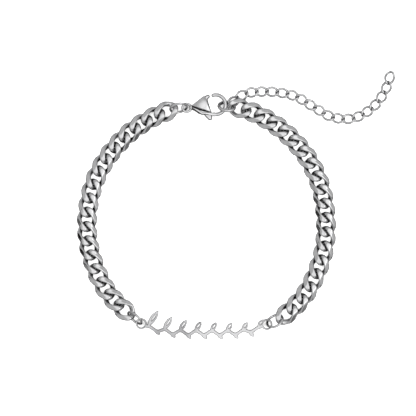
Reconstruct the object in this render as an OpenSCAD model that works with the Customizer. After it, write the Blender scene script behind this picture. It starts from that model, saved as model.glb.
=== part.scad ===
// Curb-chain bracelet with a pierced plate, a lobster clasp and an extension chain, laid out as a closed loop.
// The origin is the loop's centre on the surface that it lies on. X points right, Y to the clasp, Z up.

/* [Curb chain] */
// Length of a curb link over its ends
link_len = 6; // [5.8:0.05:6.4]
// Width of a curb link over its sides
link_w = 4.7; // [4.5:0.05:5.2]
// Diameter of the link wire before it is ground
link_wire = 1.15; // [0.95:0.05:1.2]
// Twist of a link from its middle to either end, in degrees
link_twist = 50; // [46:1:54]
// Thickness of the chain once its two faces are ground flat
chain_t = 2.0; // [1.8:0.05:2.4]
// Distance from the chain's axis to its slanted side facets
facet_d = 1.72; // [1.6:0.02:2]
// How far two neighbouring links can still be pulled apart
link_play = 0.29; // [0.22:0.01:0.36]
// Number of links left of the plate
left_links = 18; // [16:1:19]
// Number of links right of the plate
right_links = 19; // [17:1:20]

/* [Jump rings] */
// Outer diameter of the three jump rings
ring_od = 4.55; // [4.45:0.05:4.9]
// Wire diameter of the jump rings
ring_wire = 0.55; // [0.45:0.05:0.6]
// Lean of the left plate ring from lying flat, in degrees
left_ring_lean = 66; // [60:1:72]
// Lean of the right plate ring
right_ring_lean = 54; // [48:1:62]
// Lean of the clasp ring
clasp_ring_lean = 62; // [56:1:68]
// Outer diameter of the stout end ring
end_ring_od = 4.5; // [4.4:0.05:4.8]
// Wire diameter of the end ring
end_ring_wire = 0.75; // [0.6:0.05:0.8]
// Lean of the end ring
end_ring_lean = 56; // [52:1:62]

/* [Nameplate] */
// Distance between the centres of the two eyelets
plate_span = 30.1; // [26:0.1:34]
// Thickness of the plate
plate_t = 0.8; // [0.6:0.05:1]
// Outer diameter of an eyelet
eyelet_od = 2.65; // [2.5:0.05:3.2]
// Hole of an eyelet
eyelet_hole = 1.85; // [1.75:0.05:2.1]
// Width of the stem that runs from eyelet to eyelet
stem_w = 0.75; // [0.6:0.05:1]
// How far the stem hangs outward of the line through the eyelets
stem_drop = 2.1; // [1:0.1:2.4]
// Height of the stem's waves
stem_wave = 0.45; // [0.2:0.05:0.7]
// Number of leaves on each side of the stem
leaves = 8; // [4:1:9]
// Length of the longest leaf
leaf_long = 4.6; // [3:0.1:5.5]
// Length of the shortest leaf
leaf_short = 2.4; // [1.6:0.1:3]
// Widest part of the longest leaf
leaf_w = 1.5; // [0.9:0.05:1.8]
// Width of the slit that is cut through the leaves
leaf_slit = 0.4; // [0.3:0.05:0.5]
// Slant of the leaves from the plate's long axis, in degrees
leaf_slant = 56; // [40:1:70]

/* [Clasp] */
// Mean radius of the clasp's eye
eye_r = 0.98; // [0.9:0.02:1.2]
// Wire diameter of the eye
eye_wire = 0.6; // [0.5:0.05:0.65]
// Distance from the eye's centre to the centre of the hook's bend, along the clasp
hook_x = 6.95; // [6.7:0.05:7.6]
// Mean radius of the hook's bend
hook_r = 2.35; // [2.3:0.05:2.6]
// Diameter of the hook's stock
hook_wire = 0.87; // [0.7:0.01:0.9]
// Thickness of the body over its two domed cheeks
clasp_t = 2.3; // [2.1:0.1:2.8]
// Thickness of the spine that carries the hook
spine_t = 1.6; // [1.5:0.05:1.9]
// Thickness of the lever
lever_t = 0.6; // [0.4:0.05:0.7]
// Clearance between the lever and its slot, on every side
slot_gap = 0.08; // [0.05:0.01:0.12]
// Radius of the pivot pin
pin_r = 0.3; // [0.25:0.01:0.4]
// Clearance between the pin and the lever's bore
pin_gap = 0.05; // [0.03:0.01:0.09]
// How far the lever opens, in degrees
lever_open = 25; // [15:1:28]

/* [Extension chain] */
// Number of extension links
ext_links = 19; // [10:1:20]
// Length of an extension link over its ends
ext_len = 3.52; // [3.4:0.02:3.8]
// Width of an extension link over its sides
ext_w = 2.6; // [2.4:0.05:2.9]
// Wire diameter of the extension links
ext_wire = 0.46; // [0.36:0.02:0.5]
// Twist of an extension link from its middle to either end, in degrees
ext_twist = 45; // [42:1:52]
// How far two neighbouring extension links can still be pulled apart
ext_play = 0.13; // [0.1:0.01:0.2]

/* [Hidden] */
// Direction of the plate's middle, seen from the loop's centre.
plate_turn = 268.7;
// Sections along a link and sides of its wire.
link_rings = 16;
ext_rings = 12;
wire_sides = 6;
// How much farther out the corners of the wire's sections lie than its true round.
corner_out = 1.04;
// The route of the loop leaves the circle a little: outward shift by direction.
route_bulge = [
    [-60, -0.15], [-50, 0.5], [-38, 0.65], [-20, 0.3], [5, -0.1], [30, 0], [45, -0.1], [66, -0.1], [74, -0.25],
    [81, -0.57], [100, -0.8], [108, -0.4], [120, -0.35], [135, -0.25], [165, 0.1], [195, 0.3], [215, 0.55],
    [228, 0.3], [238, 0.45]
];
// The route of the extension chain, measured from the end ring's centre, from its first link's tip on.
ext_route = [
    [0.6, 0.2], [1.68, 1.31], [3.75, 2.8], [6.2, 3.5], [11.1, 3.6], [16.3, 2.6], [20.7, 0.1],
    [25.2, -2.4], [30.2, -2.75], [34.6, -0.5], [37.6, 3.1], [39.1, 7], [39.5, 9.5]
];
// How far the first extension link is lifted by the ring that it hangs on.
ext_lift = 0.07;
// How far the first link of each stretch is lifted by the ring that it hangs on, and the share left at the next one.
end_lift = 0.65;
lift_share = 0.5;

link_pitch = link_len - 2 * link_wire - link_play;
ext_pitch = ext_len - 2 * ext_wire - ext_play;
ring_r = (ring_od - ring_wire) / 2;
end_ring_r = (end_ring_od - end_ring_wire) / 2;
chain_z = chain_t / 2;

// Heights of the leaning rings' centres, with each ring standing on the surface.
left_ring_z = ring_r * sin(left_ring_lean) + ring_wire / 2;
right_ring_z = ring_r * sin(right_ring_lean) + ring_wire / 2;
clasp_ring_z = ring_r * sin(clasp_ring_lean) + ring_wire / 2;
end_ring_z = end_ring_r * sin(end_ring_lean) + end_ring_wire / 2;
// The plate and the clasp lie on their rings, with their backs this far above the surface.
plate_rise = 1.3;
clasp_rise = 0.35;
plate_z = plate_rise + plate_t / 2;
clasp_z = clasp_rise + clasp_t / 2;
// How far a ring's centre lies beyond the end wire of the link that it holds.
link_hold = 0.75;
end_link_hold = 0.72;
// How far the hook's stock lies from the end ring's centre, and how far outward it lies from the clasp's axis.
hook_to_ring = 0.5;
bearing_y = 0.45;

// The point where a ring's wire passes through a level: how far along the ring's long axis, and how far aside.
function reach(r, lean, up) = r * cos(asin(up / (r * sin(lean))));
function aside(lean, up) = up / tan(lean);

// Steps along the loop, in order, from the plate's left eyelet round by the clasp to its right eyelet.
tip = (link_len - link_wire) / 2;
eyelet_to_left = reach(ring_r, left_ring_lean, plate_z - left_ring_z);
eyelet_to_right = reach(ring_r, right_ring_lean, plate_z - right_ring_z);
eye_to_ring = reach(ring_r, clasp_ring_lean, clasp_z - clasp_ring_z);
ring_to_link = tip + link_hold;
end_ring_to_link = tip + end_link_hold;
bearing = [hook_x + hook_r, bearing_y];
clasp_span = norm(bearing);

// Turn about the loop's centre that a chord, or a run of short chords, takes up.
function chord_turn(c, r) = 2 * asin(c / (2 * r));
function half_chord_turn(c, r) = asin(c / r);
function pitch_turn(r) = chord_turn(link_pitch, r);
function full_turn(r) =
    2 * half_chord_turn(plate_span / 2, r)
    + chord_turn(eyelet_to_left, r) + chord_turn(eyelet_to_right, r)
    + 3 * chord_turn(ring_to_link, r) + chord_turn(end_ring_to_link, r)
    + pitch_turn(r) * (left_links + right_links - 2)
    + chord_turn(eye_to_ring, r) + chord_turn(hook_to_ring, r) + chord_turn(clasp_span, r);
// The radius at which the steps close to one full turn.
function closing_radius(r, tries) =
    tries == 0 ? r : closing_radius(r * full_turn(r) / 360, tries - 1);
loop_r = closing_radius(28, 12);

// Directions of the stations, counted counter-clockwise.
left_eyelet_a = plate_turn - half_chord_turn(plate_span / 2, loop_r);
right_eyelet_a = plate_turn + half_chord_turn(plate_span / 2, loop_r);
left_ring_a = left_eyelet_a - chord_turn(eyelet_to_left, loop_r);
left_last_a = left_ring_a - chord_turn(ring_to_link, loop_r);
left_first_a = left_last_a - (left_links - 1) * pitch_turn(loop_r);
clasp_ring_a = left_first_a - chord_turn(ring_to_link, loop_r);
eye_a = clasp_ring_a - chord_turn(eye_to_ring, loop_r);
hook_a = eye_a - chord_turn(clasp_span, loop_r);
end_ring_a = hook_a - chord_turn(hook_to_ring, loop_r);
right_last_a = end_ring_a - chord_turn(end_ring_to_link, loop_r);
right_ring_a = right_eyelet_a + chord_turn(eyelet_to_right, loop_r) - 360;
right_first_a = right_ring_a + chord_turn(ring_to_link, loop_r);

function eased(u) = u * u * (3 - 2 * u);
// Value of a table of [place, value] rows, eased between its rows.
function eased_lookup(x, rows) =
    let (
        past = [for (i = [0 : len(rows) - 1]) if (rows[i][0] <= x) i],
        i = min(len(past) == 0 ? 0 : max(past), len(rows) - 2),
        u = max(0, min(1, (x - rows[i][0]) / (rows[i + 1][0] - rows[i][0])))
    )
    rows[i][1] + (rows[i + 1][1] - rows[i][1]) * eased(u);
// A station on the loop's route.
function station(a) = (loop_r + eased_lookup(a, route_bulge)) * [cos(a), sin(a)];
function heading(v) = atan2(v.y, v.x);

// Names of the links, numbered counter-clockwise from each stretch's first one.
function two_digits(n) = n < 10 ? str("0", n) : str(n);
left_names = [for (i = [1 : left_links]) str("left_link_", two_digits(i))];
right_names = [for (i = [1 : right_links]) str("right_link_", two_digits(i))];

function unit(v) = v / norm(v);
// Centre line of an oval link whose plane twists along its length.
function oval_at(t, a, b, twist) =
    let (roll = -twist * cos(t))
    [a * cos(t), b * sin(t) * cos(roll), b * sin(t) * sin(roll)];
// One section of the link's wire, square to its centre line.
function wire_section(t, a, b, twist, r) =
    let (
        mid = oval_at(t, a, b, twist),
        along = unit(oval_at(t + 1, a, b, twist) - oval_at(t - 1, a, b, twist)),
        roll = -twist * cos(t),
        radial = [b * cos(t), a * sin(t) * cos(roll), a * sin(t) * sin(roll)],
        out = unit(radial - (radial * along) * along),
        across = cross(along, out)
    )
    [for (k = [0 : wire_sides - 1])
        let (q = 360 * (k + 0.5) / wire_sides)
        mid + r * (cos(q) * out + sin(q) * across)];
// A point moved back to the ground faces and the slanted side facets, if it lies outside them.
function ground(p, half_t, facet) =
    let (
        z = sign(p.z) * min(abs(p.z), half_t),
        spare = max(0, abs(p.y) + abs(z) - facet * sqrt(2)) / 2
    )
    [p.x, p.y - sign(p.y) * spare, z - sign(z) * spare];

// A closed twisted link, centred on the origin with its length along X.
module twisted_link(length, width, wire, twist, rings, half_t, facet) {
    a = (length - wire) / 2;
    b = (width - wire) / 2;
    sections = [for (i = [0 : rings - 1]) wire_section(360 * (i + 0.5) / rings, a, b, twist, wire / 2 * corner_out)];
    points = [for (s = sections) for (p = s) ground(p, half_t, facet)];
    count = rings * wire_sides;
    faces = [
        for (i = [0 : rings - 1])
        for (k = [0 : wire_sides - 1])
        let (
            here = i * wire_sides,
            next = (here + wire_sides) % count,
            k2 = (k + 1) % wire_sides
        )
        each [[here + k, next + k2, here + k2], [here + k, next + k, next + k2]]
    ];
    polyhedron(points = points, faces = faces, convexity = 6);
}

// Lift of a link near either end of its stretch.
function lift(i, n) =
    end_lift * (pow(lift_share, i) + pow(lift_share, n - 1 - i));
// Place of link i of a stretch that starts at direction a0.
function link_place(i, n, a0) =
    let (p = station(a0 + i * pitch_turn(loop_r)))
    [p.x, p.y, chain_z + lift(i, n)];

// Link i of n, counted counter-clockwise from direction a0. Its own Y points to the loop's centre.
module curb_link(i, n, a0) {
    here = link_place(i, n, a0);
    before = i == 0 ? 2 * here - link_place(1, n, a0) : link_place(i - 1, n, a0);
    after = i == n - 1 ? 2 * here - link_place(n - 2, n, a0) : link_place(i + 1, n, a0);
    way = after - before;
    color("silver")
    translate(here)
    rotate([0, -asin(way.z / norm(way)), heading(way)])
    twisted_link(link_len, link_w, link_wire, link_twist, link_rings, chain_t / 2, facet_d);
}

// A round jump ring centred at p that leans over on its long axis, which heads along way.
module jump_ring(p, way, lean, r, wire) {
    color("gainsboro")
    translate(p)
    rotate([0, 0, way])
    rotate([lean, 0, 0])
    rotate_extrude($fn = 96)
    translate([r, 0])
    circle(d = wire, $fn = 32);
}

left_eyelet = station(left_eyelet_a);
right_eyelet = station(right_eyelet_a);
eye = station(eye_a);
hook_bearing = station(hook_a);
end_ring_p = station(end_ring_a);
left_last = station(left_last_a);
right_first = station(right_first_a);
left_first = station(left_first_a);
right_last = station(right_last_a);

left_ring_way = heading(left_eyelet - left_last);
right_ring_way = heading(right_first - right_eyelet);
clasp_ring_way = heading(left_first - eye);
end_ring_way = heading(hook_bearing - right_last);
function turned(v, a) = [v.x * cos(a) - v.y * sin(a), v.x * sin(a) + v.y * cos(a)];
left_ring_p = left_eyelet - turned([eyelet_to_left, aside(left_ring_lean, plate_z - left_ring_z)], left_ring_way);
right_ring_p = right_eyelet - turned([-eyelet_to_right, aside(-right_ring_lean, plate_z - right_ring_z)], right_ring_way);
clasp_ring_p = eye - turned([-eye_to_ring, aside(-clasp_ring_lean, clasp_z - clasp_ring_z)], clasp_ring_way);

module left_plate_ring()
    jump_ring([left_ring_p.x, left_ring_p.y, left_ring_z], left_ring_way, left_ring_lean, ring_r, ring_wire);
module right_plate_ring()
    jump_ring([right_ring_p.x, right_ring_p.y, right_ring_z], right_ring_way, -right_ring_lean, ring_r, ring_wire);
module clasp_ring()
    jump_ring([clasp_ring_p.x, clasp_ring_p.y, clasp_ring_z], clasp_ring_way, -clasp_ring_lean, ring_r, ring_wire);
module end_ring()
    jump_ring([end_ring_p.x, end_ring_p.y, end_ring_z], end_ring_way, end_ring_lean, end_ring_r, end_ring_wire);

// Height of the stem's middle above the line through the eyelets, at x along the plate.
plate_half = plate_span / 2;
function stem_y(x) =
    -stem_drop * (1 - pow(x / plate_half, 4)) + stem_wave * (1 - pow(x / plate_half, 4)) * sin(leaf_phase(x));
// Phase of the stem's waves: one whole wave for each pair of leaves.
function leaf_phase(x) = 360 * leaves * (x + plate_half) / plate_span - 90;
function stem_way(x) = heading([0.2, stem_y(x + 0.1) - stem_y(x - 0.1)]);

module stem_outline() {
    steps = 6 * leaves;
    xs = [for (i = [0 : steps]) -plate_half + plate_span * i / steps];
    upper = [for (x = xs) [x, stem_y(x)] + turned([0, stem_w / 2], stem_way(x))];
    lower = [for (x = xs) [x, stem_y(x)] - turned([0, stem_w / 2], stem_way(x))];
    polygon(concat(upper, [for (i = [len(xs) - 1 : -1 : 0]) lower[i]]));
}

// A pointed leaf of two arcs, with its root at the origin.
module leaf(length, width) {
    r = (length * length + width * width) / (4 * width);
    intersection() {
        translate([length / 2, r - width / 2]) circle(r = r, $fn = 72);
        translate([length / 2, width / 2 - r]) circle(r = r, $fn = 72);
    }
}

// Leaves above the stem, long by the left eyelet and shorter to the right, each with a slit when slits is true.
function upper_leaf(i) = leaf_short + (leaf_long - leaf_short) * pow(1 - i / (leaves - 1), 3);
module upper_leaves(slits) {
    for (i = [0 : leaves - 1]) {
        x = plate_half * (2 * (i + 0.42) / leaves - 1);
        size = upper_leaf(i);
        width = leaf_w * (0.55 + 0.45 * size / leaf_long);
        translate([x, stem_y(x)]) rotate(leaf_slant)
        if (slits) translate([size * 0.32, 0]) leaf(size * 0.46, leaf_slit);
        else leaf(size, width);
    }
}
// Leaves below the stem, one fewer than above it, so that the right eyelet stays clear.
module lower_leaves() {
    for (i = [0 : leaves - 2]) {
        x = plate_half * (2 * (i + 0.85) / leaves - 1);
        translate([x, stem_y(x)]) rotate(-leaf_slant * 0.75) leaf(leaf_short * 0.75, leaf_w * 0.6);
    }
}

module nameplate() {
    mid = (left_eyelet + right_eyelet) / 2;
    color("silver")
    translate([mid.x, mid.y, plate_z - plate_t / 2])
    rotate(heading(right_eyelet - left_eyelet))
    difference() {
        linear_extrude(plate_t)
        offset(r = -0.12, $fn = 24) offset(delta = 0.12) {
            stem_outline();
            upper_leaves(false);
            lower_leaves();
            for (side = [-1, 1]) translate([side * plate_half, 0]) circle(d = eyelet_od, $fn = 48);
        }
        translate([0, 0, -1]) linear_extrude(plate_t + 2) upper_leaves(true);
        for (side = [-1, 1]) translate([side * plate_half, 0, -1]) cylinder(d = eyelet_hole, h = plate_t + 2, $fn = 48);
    }
}

// The clasp's own frame: eye at the origin, hook along X, Y away from the loop's centre, middle plane at Z 0.
pivot = [3.1, 0.05];
hook_c = [hook_x, 0.82];
dome_r = 5.5;
web_t = spine_t - 0.4;
groove_depth = 0.15;
pin_h = lever_t + 2 * slot_gap + 0.6;
// The hook's bend runs between these directions and ends in a short taper.
hook_start = -100;
hook_tip = 106;
tip_root = 0.1;
tip_len = 0.32;
tip_base = 0.96;
tip_share = 0.62;

module in_clasp() {
    way = heading(hook_bearing - eye) - heading(bearing);
    translate([eye.x, eye.y, clasp_z]) rotate(way) children();
}

// Plan of the lever: hub, gate with its tip near the hook, and thumb tab past the spine.
module lever_plan() {
    translate(pivot) circle(r = 0.72, $fn = 40);
    offset(r = 0.12, $fn = 24) offset(delta = -0.12)
    polygon([
        [2.85, 0.7], [4.45, 3.02], [5.15, 3.2], [5.6, 2.95], [5.5, 2.55], [5.02, 2.05], [5.3, 1.1],
        [5.6, 0.15], [5.85, -0.6], [6.05, -1.3], [6.15, -2.1], [6.1, -2.7], [5.75, -3.05], [5.3, -2.9],
        [4.85, -2.45], [4.35, -1.9], [3.4, -0.6]
    ]);
}
module about_pivot(a) translate(pivot) rotate(a) translate(-pivot) children();

module clasp_lever() {
    color("lightgray")
    in_clasp()
    difference() {
        translate([0, 0, -lever_t / 2]) linear_extrude(lever_t) lever_plan();
        translate([pivot.x, pivot.y, -2]) cylinder(r = pin_r + pin_gap, h = 4, $fn = 48);
    }
}

// Room that the lever sweeps, with its clearance.
module lever_slot() {
    translate([0, 0, -lever_t / 2 - slot_gap])
    linear_extrude(lever_t + 2 * slot_gap)
    for (a = [0 : 5 : lever_open + 1])
    about_pivot(-a) offset(delta = slot_gap) lever_plan();
}

// Plan of one cheek, with the hollow of the hook's mouth taken out of its right side.
module cheek_plan() {
    difference() {
        hull() {
            translate([1.75, 0.55]) circle(r = 0.3, $fn = 32);
            translate([4.12, 2.5]) circle(r = 0.4, $fn = 32);
            translate([5.45, -0.62]) circle(r = 0.35, $fn = 32);
            translate([4.3, -0.5]) circle(r = 0.35, $fn = 32);
        }
        translate([10.9, 3]) circle(r = 6.15, $fn = 120);
    }
}
module spine_plan() {
    hull() {
        translate([1.35, 0.05]) circle(r = 0.4, $fn = 32);
        translate([3.6, -1.45]) circle(r = 0.38, $fn = 32);
    }
    hull() {
        translate([3.6, -1.45]) circle(r = 0.38, $fn = 32);
        translate([hook_c.x, hook_c.y - hook_r]) circle(r = 0.38, $fn = 32);
    }
}

// Web that joins the neck, the cheeks and the spine inside.
module web_plan() {
    hull() {
        translate([1.2, 0.1]) circle(r = 0.42, $fn = 32);
        translate([3.8, 1.7]) circle(r = 0.42, $fn = 32);
        translate([5.3, -0.9]) circle(r = 0.42, $fn = 32);
        translate([3.7, -1.2]) circle(r = 0.42, $fn = 32);
    }
}
// Groove between a cheek and the spine.
module groove_plan() polygon([[1.45, 0.36], [1.45, 0.2], [3.4, -0.6], [5.5, -1.08], [5.5, -0.92], [3.4, -0.36]]);

// Both cheeks, domed outside.
module cheeks() {
    for (side = [-1, 1])
    intersection() {
        translate([0, 0, side < 0 ? -clasp_t / 2 : 0]) linear_extrude(clasp_t / 2) cheek_plan();
        translate([3.9, 0.6, side * (clasp_t / 2 - dome_r)]) rotate([90, 0, 0]) sphere(r = dome_r, $fn = 96);
    }
}

module clasp_body() {
    color("lightgray")
    in_clasp() {
        rotate_extrude($fn = 64) translate([eye_r, 0]) circle(d = eye_wire, $fn = 32);
        translate(hook_c) rotate(hook_start) rotate_extrude(angle = hook_tip - hook_start, $fn = 96)
        translate([hook_r, 0]) circle(d = hook_wire, $fn = 32);
        translate(hook_c) rotate(hook_tip) translate([hook_r, -tip_root, 0]) rotate([-90, 0, 0])
        cylinder(d1 = tip_base * hook_wire, d2 = tip_share * hook_wire, h = tip_root + tip_len, $fn = 32);
        difference() {
            union() {
                cheeks();
                translate([0, 0, -spine_t / 2]) linear_extrude(spine_t) spine_plan();
                translate([0, 0, -web_t / 2]) linear_extrude(web_t) web_plan();
            }
            for (side = [-1, 1])
            translate([0, 0, side < 0 ? -clasp_t : web_t / 2 - groove_depth])
            linear_extrude(clasp_t - web_t / 2 + groove_depth) groove_plan();
            cylinder(r = eye_r - eye_wire / 2, h = 6, center = true, $fn = 48);
            lever_slot();
        }
        translate([pivot.x, pivot.y, -pin_h / 2]) cylinder(r = pin_r, h = pin_h, $fn = 48);
    }
}

// The extension's route as a smooth curve through its chosen points, measured along its length.
function blend(p0, p1, p2, p3, u) =
    0.5 * (2 * p1 + (p2 - p0) * u + (2 * p0 - 5 * p1 + 4 * p2 - p3) * u * u + (3 * p1 - p0 - 3 * p2 + p3) * u * u * u);
function route_point(i, u) =
    let (n = len(ext_route))
    blend(ext_route[max(i - 1, 0)], ext_route[i], ext_route[min(i + 1, n - 1)], ext_route[min(i + 2, n - 1)], u);
route_steps = 8;
route_line = [for (i = [0 : len(ext_route) - 2]) for (k = [0 : route_steps - 1]) route_point(i, k / route_steps)];
function run_to(k) = k == 0 ? 0 : run_to(k - 1) + norm(route_line[k] - route_line[k - 1]);
route_run = [for (k = [0 : len(route_line) - 1]) run_to(k)];
route_x = [for (k = [0 : len(route_line) - 1]) [route_run[k], route_line[k].x]];
route_y = [for (k = [0 : len(route_line) - 1]) [route_run[k], route_line[k].y]];
route_end = route_run[len(route_run) - 1];
function on_route(s) =
    let (n = len(route_line))
    [lookup(s, route_x), lookup(s, route_y)]
    + max(0, s - route_end) * unit(route_line[n - 1] - route_line[n - 2]);

// Height of the extension's middle: it lies on the surface.
ext_b = (ext_w - ext_wire) / 2;
ext_rise = max([for (t = [0 : 5 : 90]) ext_b * sin(t) * sin(ext_twist * cos(t))]) + ext_wire / 2 * corner_out;

module extension_chain() {
    color("gainsboro")
    for (i = [0 : ext_links - 1]) {
        s = (ext_len - ext_wire) / 2 + i * ext_pitch;
        p = end_ring_p + on_route(s);
        way = on_route(s + 0.5) - on_route(s - 0.5);
        translate([p.x, p.y, ext_rise + (i == 0 ? ext_lift : 0)])
        rotate(heading(way))
        twisted_link(ext_len, ext_w, ext_wire, ext_twist, ext_rings, ext_w, ext_w);
    }
}

for (i = [0 : left_links - 1])
    curb_link(i, left_links, left_first_a);
for (i = [0 : right_links - 1])
    curb_link(i, right_links, right_first_a);
nameplate();
left_plate_ring();
right_plate_ring();
clasp_ring();
clasp_body();
clasp_lever();
end_ring();
extension_chain();
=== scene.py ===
"""Looks of a curb-chain bracelet with a pierced leafy plate, a lobster clasp and an extension chain.

Each class is one sub-assembly of the bracelet. Its fields are sizes in millimetres and angles in degrees.
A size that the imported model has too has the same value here, and the others shape what only the looks
have. MM turns lengths into the frame's metres.
"""

import logging
import math
from collections.abc import Callable, Sequence
from dataclasses import dataclass, field, replace
from enum import Enum

import bmesh
import bpy
import numpy as np
from mathutils import Matrix, Vector


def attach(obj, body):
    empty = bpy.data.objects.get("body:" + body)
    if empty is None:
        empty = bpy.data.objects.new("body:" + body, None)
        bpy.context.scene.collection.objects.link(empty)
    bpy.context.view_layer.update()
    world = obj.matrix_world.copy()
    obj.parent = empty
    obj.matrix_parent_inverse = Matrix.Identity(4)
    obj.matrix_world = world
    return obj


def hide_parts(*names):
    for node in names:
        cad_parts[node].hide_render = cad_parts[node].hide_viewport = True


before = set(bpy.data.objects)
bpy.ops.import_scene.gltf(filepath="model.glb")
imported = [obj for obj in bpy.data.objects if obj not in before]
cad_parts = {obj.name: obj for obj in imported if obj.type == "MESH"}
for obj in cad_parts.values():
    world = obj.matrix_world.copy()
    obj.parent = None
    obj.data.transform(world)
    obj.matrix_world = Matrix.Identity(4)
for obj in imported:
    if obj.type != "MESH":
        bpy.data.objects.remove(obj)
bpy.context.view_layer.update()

MM = 0.001
log = logging.getLogger("bracelet")

Field = Callable[[np.ndarray], np.ndarray]
Point = tuple[float, float]
Span = tuple[float, float]

# The mesh attribute that keeps the full colour at 1: lower values paint shade on edges, grooves and rims,
# and darken the links' unground wire
POLISH_AND_SHADE_MASK = "polish_and_shade_mask"
# From none to all of a thing
WHOLE: Span = (0.0, 1.0)
# A way out of the wire that faces a grinding plane less than this never meets it
GRAZING = 0.02
# Further out than any wire's section reaches
FAR = 9.0
# How far a point may move to settle on a surface, as a share of a cell, and in how many rounds
SETTLE_SHARE = 0.6
SETTLE_ROUNDS = 3
# The least square of a slope that a move is divided by, so that no point is thrown out
LEAST_SLOPE = 0.25
# The least length that a normal is divided by
LEAST_LENGTH = 1e-6


class Body(Enum):
    """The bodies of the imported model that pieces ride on."""

    BRACELET = "bracelet"
    LEVER = "lever"


class Grain(Enum):
    """How a piece was finished, as the stretch of its fine marks along its own x, y and z."""

    TUMBLED = (1.0, 1.0, 1.0)
    SHEET = (0.08, 1.0, 1.0)
    DRAWN = (0.3, 1.0, 1.0)
    CAST = (0.7, 0.7, 1.0)


class Ramp(Enum):
    """How a value runs between the two ends of a stretch."""

    STRAIGHT = "LINEAR"
    SOFT = "SMOOTHSTEP"


def cosd(angle: float) -> float:
    """Cosine of an angle in degrees."""
    return math.cos(math.radians(angle))


def sind(angle: float) -> float:
    """Sine of an angle in degrees."""
    return math.sin(math.radians(angle))


def heading(v: Sequence[float]) -> float:
    """Direction of a plan vector, in degrees."""
    return math.degrees(math.atan2(v[1], v[0]))


def turned(v: Sequence[float], angle: float) -> np.ndarray:
    """A plan vector turned by an angle in degrees."""
    return np.array([v[0] * cosd(angle) - v[1] * sind(angle), v[0] * sind(angle) + v[1] * cosd(angle)])


def place(at: Sequence[float], *turns: tuple[str, float]) -> Matrix:
    """Builds the matrix that puts a piece in the frame.

    Args:
        at: Where the piece's own origin goes, in millimetres.
        turns: Axis letter and degrees of each turn, the outermost first.

    Returns:
        The matrix in metres.
    """
    matrix = Matrix.Translation(Vector([c * MM for c in at]))
    for axis, angle in turns:
        matrix = matrix @ Matrix.Rotation(math.radians(angle), 4, axis)
    return matrix


@dataclass
class Shape:
    """A mesh before it becomes an object: points in millimetres, faces, and true normals where known."""

    points: np.ndarray
    faces: list[tuple[int, ...]]
    normals: np.ndarray | None = None
    flat_faces: frozenset[int] = frozenset()
    polish_and_shade_mask: np.ndarray | None = None

    def joined(self, other: "Shape") -> "Shape":
        """This shape and another one as loose parts of one mesh."""
        faces = self.faces + [tuple(i + len(self.points) for i in f) for f in other.faces]
        return Shape(np.vstack([self.points, other.points]), faces)

    def moved(self, matrix: Matrix) -> "Shape":
        """This shape moved by a matrix in metres."""
        m = np.array(matrix)
        return Shape(self.points @ m[:3, :3].T + m[:3, 3] / MM, self.faces)


def ranged(
    tree: bpy.types.NodeTree,
    value: bpy.types.NodeSocket,
    span: Span,
    onto: Span,
    ramp: Ramp = Ramp.STRAIGHT,
) -> bpy.types.NodeSocket:
    """Maps a stretch of a node's value to another stretch.

    Args:
        tree: The nodes that the map is added to.
        value: The socket to read.
        span: Start and end of the stretch that is read.
        onto: What the start and the end become.
        ramp: How the value runs in between.

    Returns:
        The socket with the mapped value.
    """
    node = tree.nodes.new("ShaderNodeMapRange")
    node.interpolation_type = ramp.value
    for name, number in zip(("From Min", "From Max", "To Min", "To Max"), (*span, *onto)):
        node.inputs[name].default_value = number
    tree.links.new(value, node.inputs["Value"])
    return node.outputs["Result"]


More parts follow.
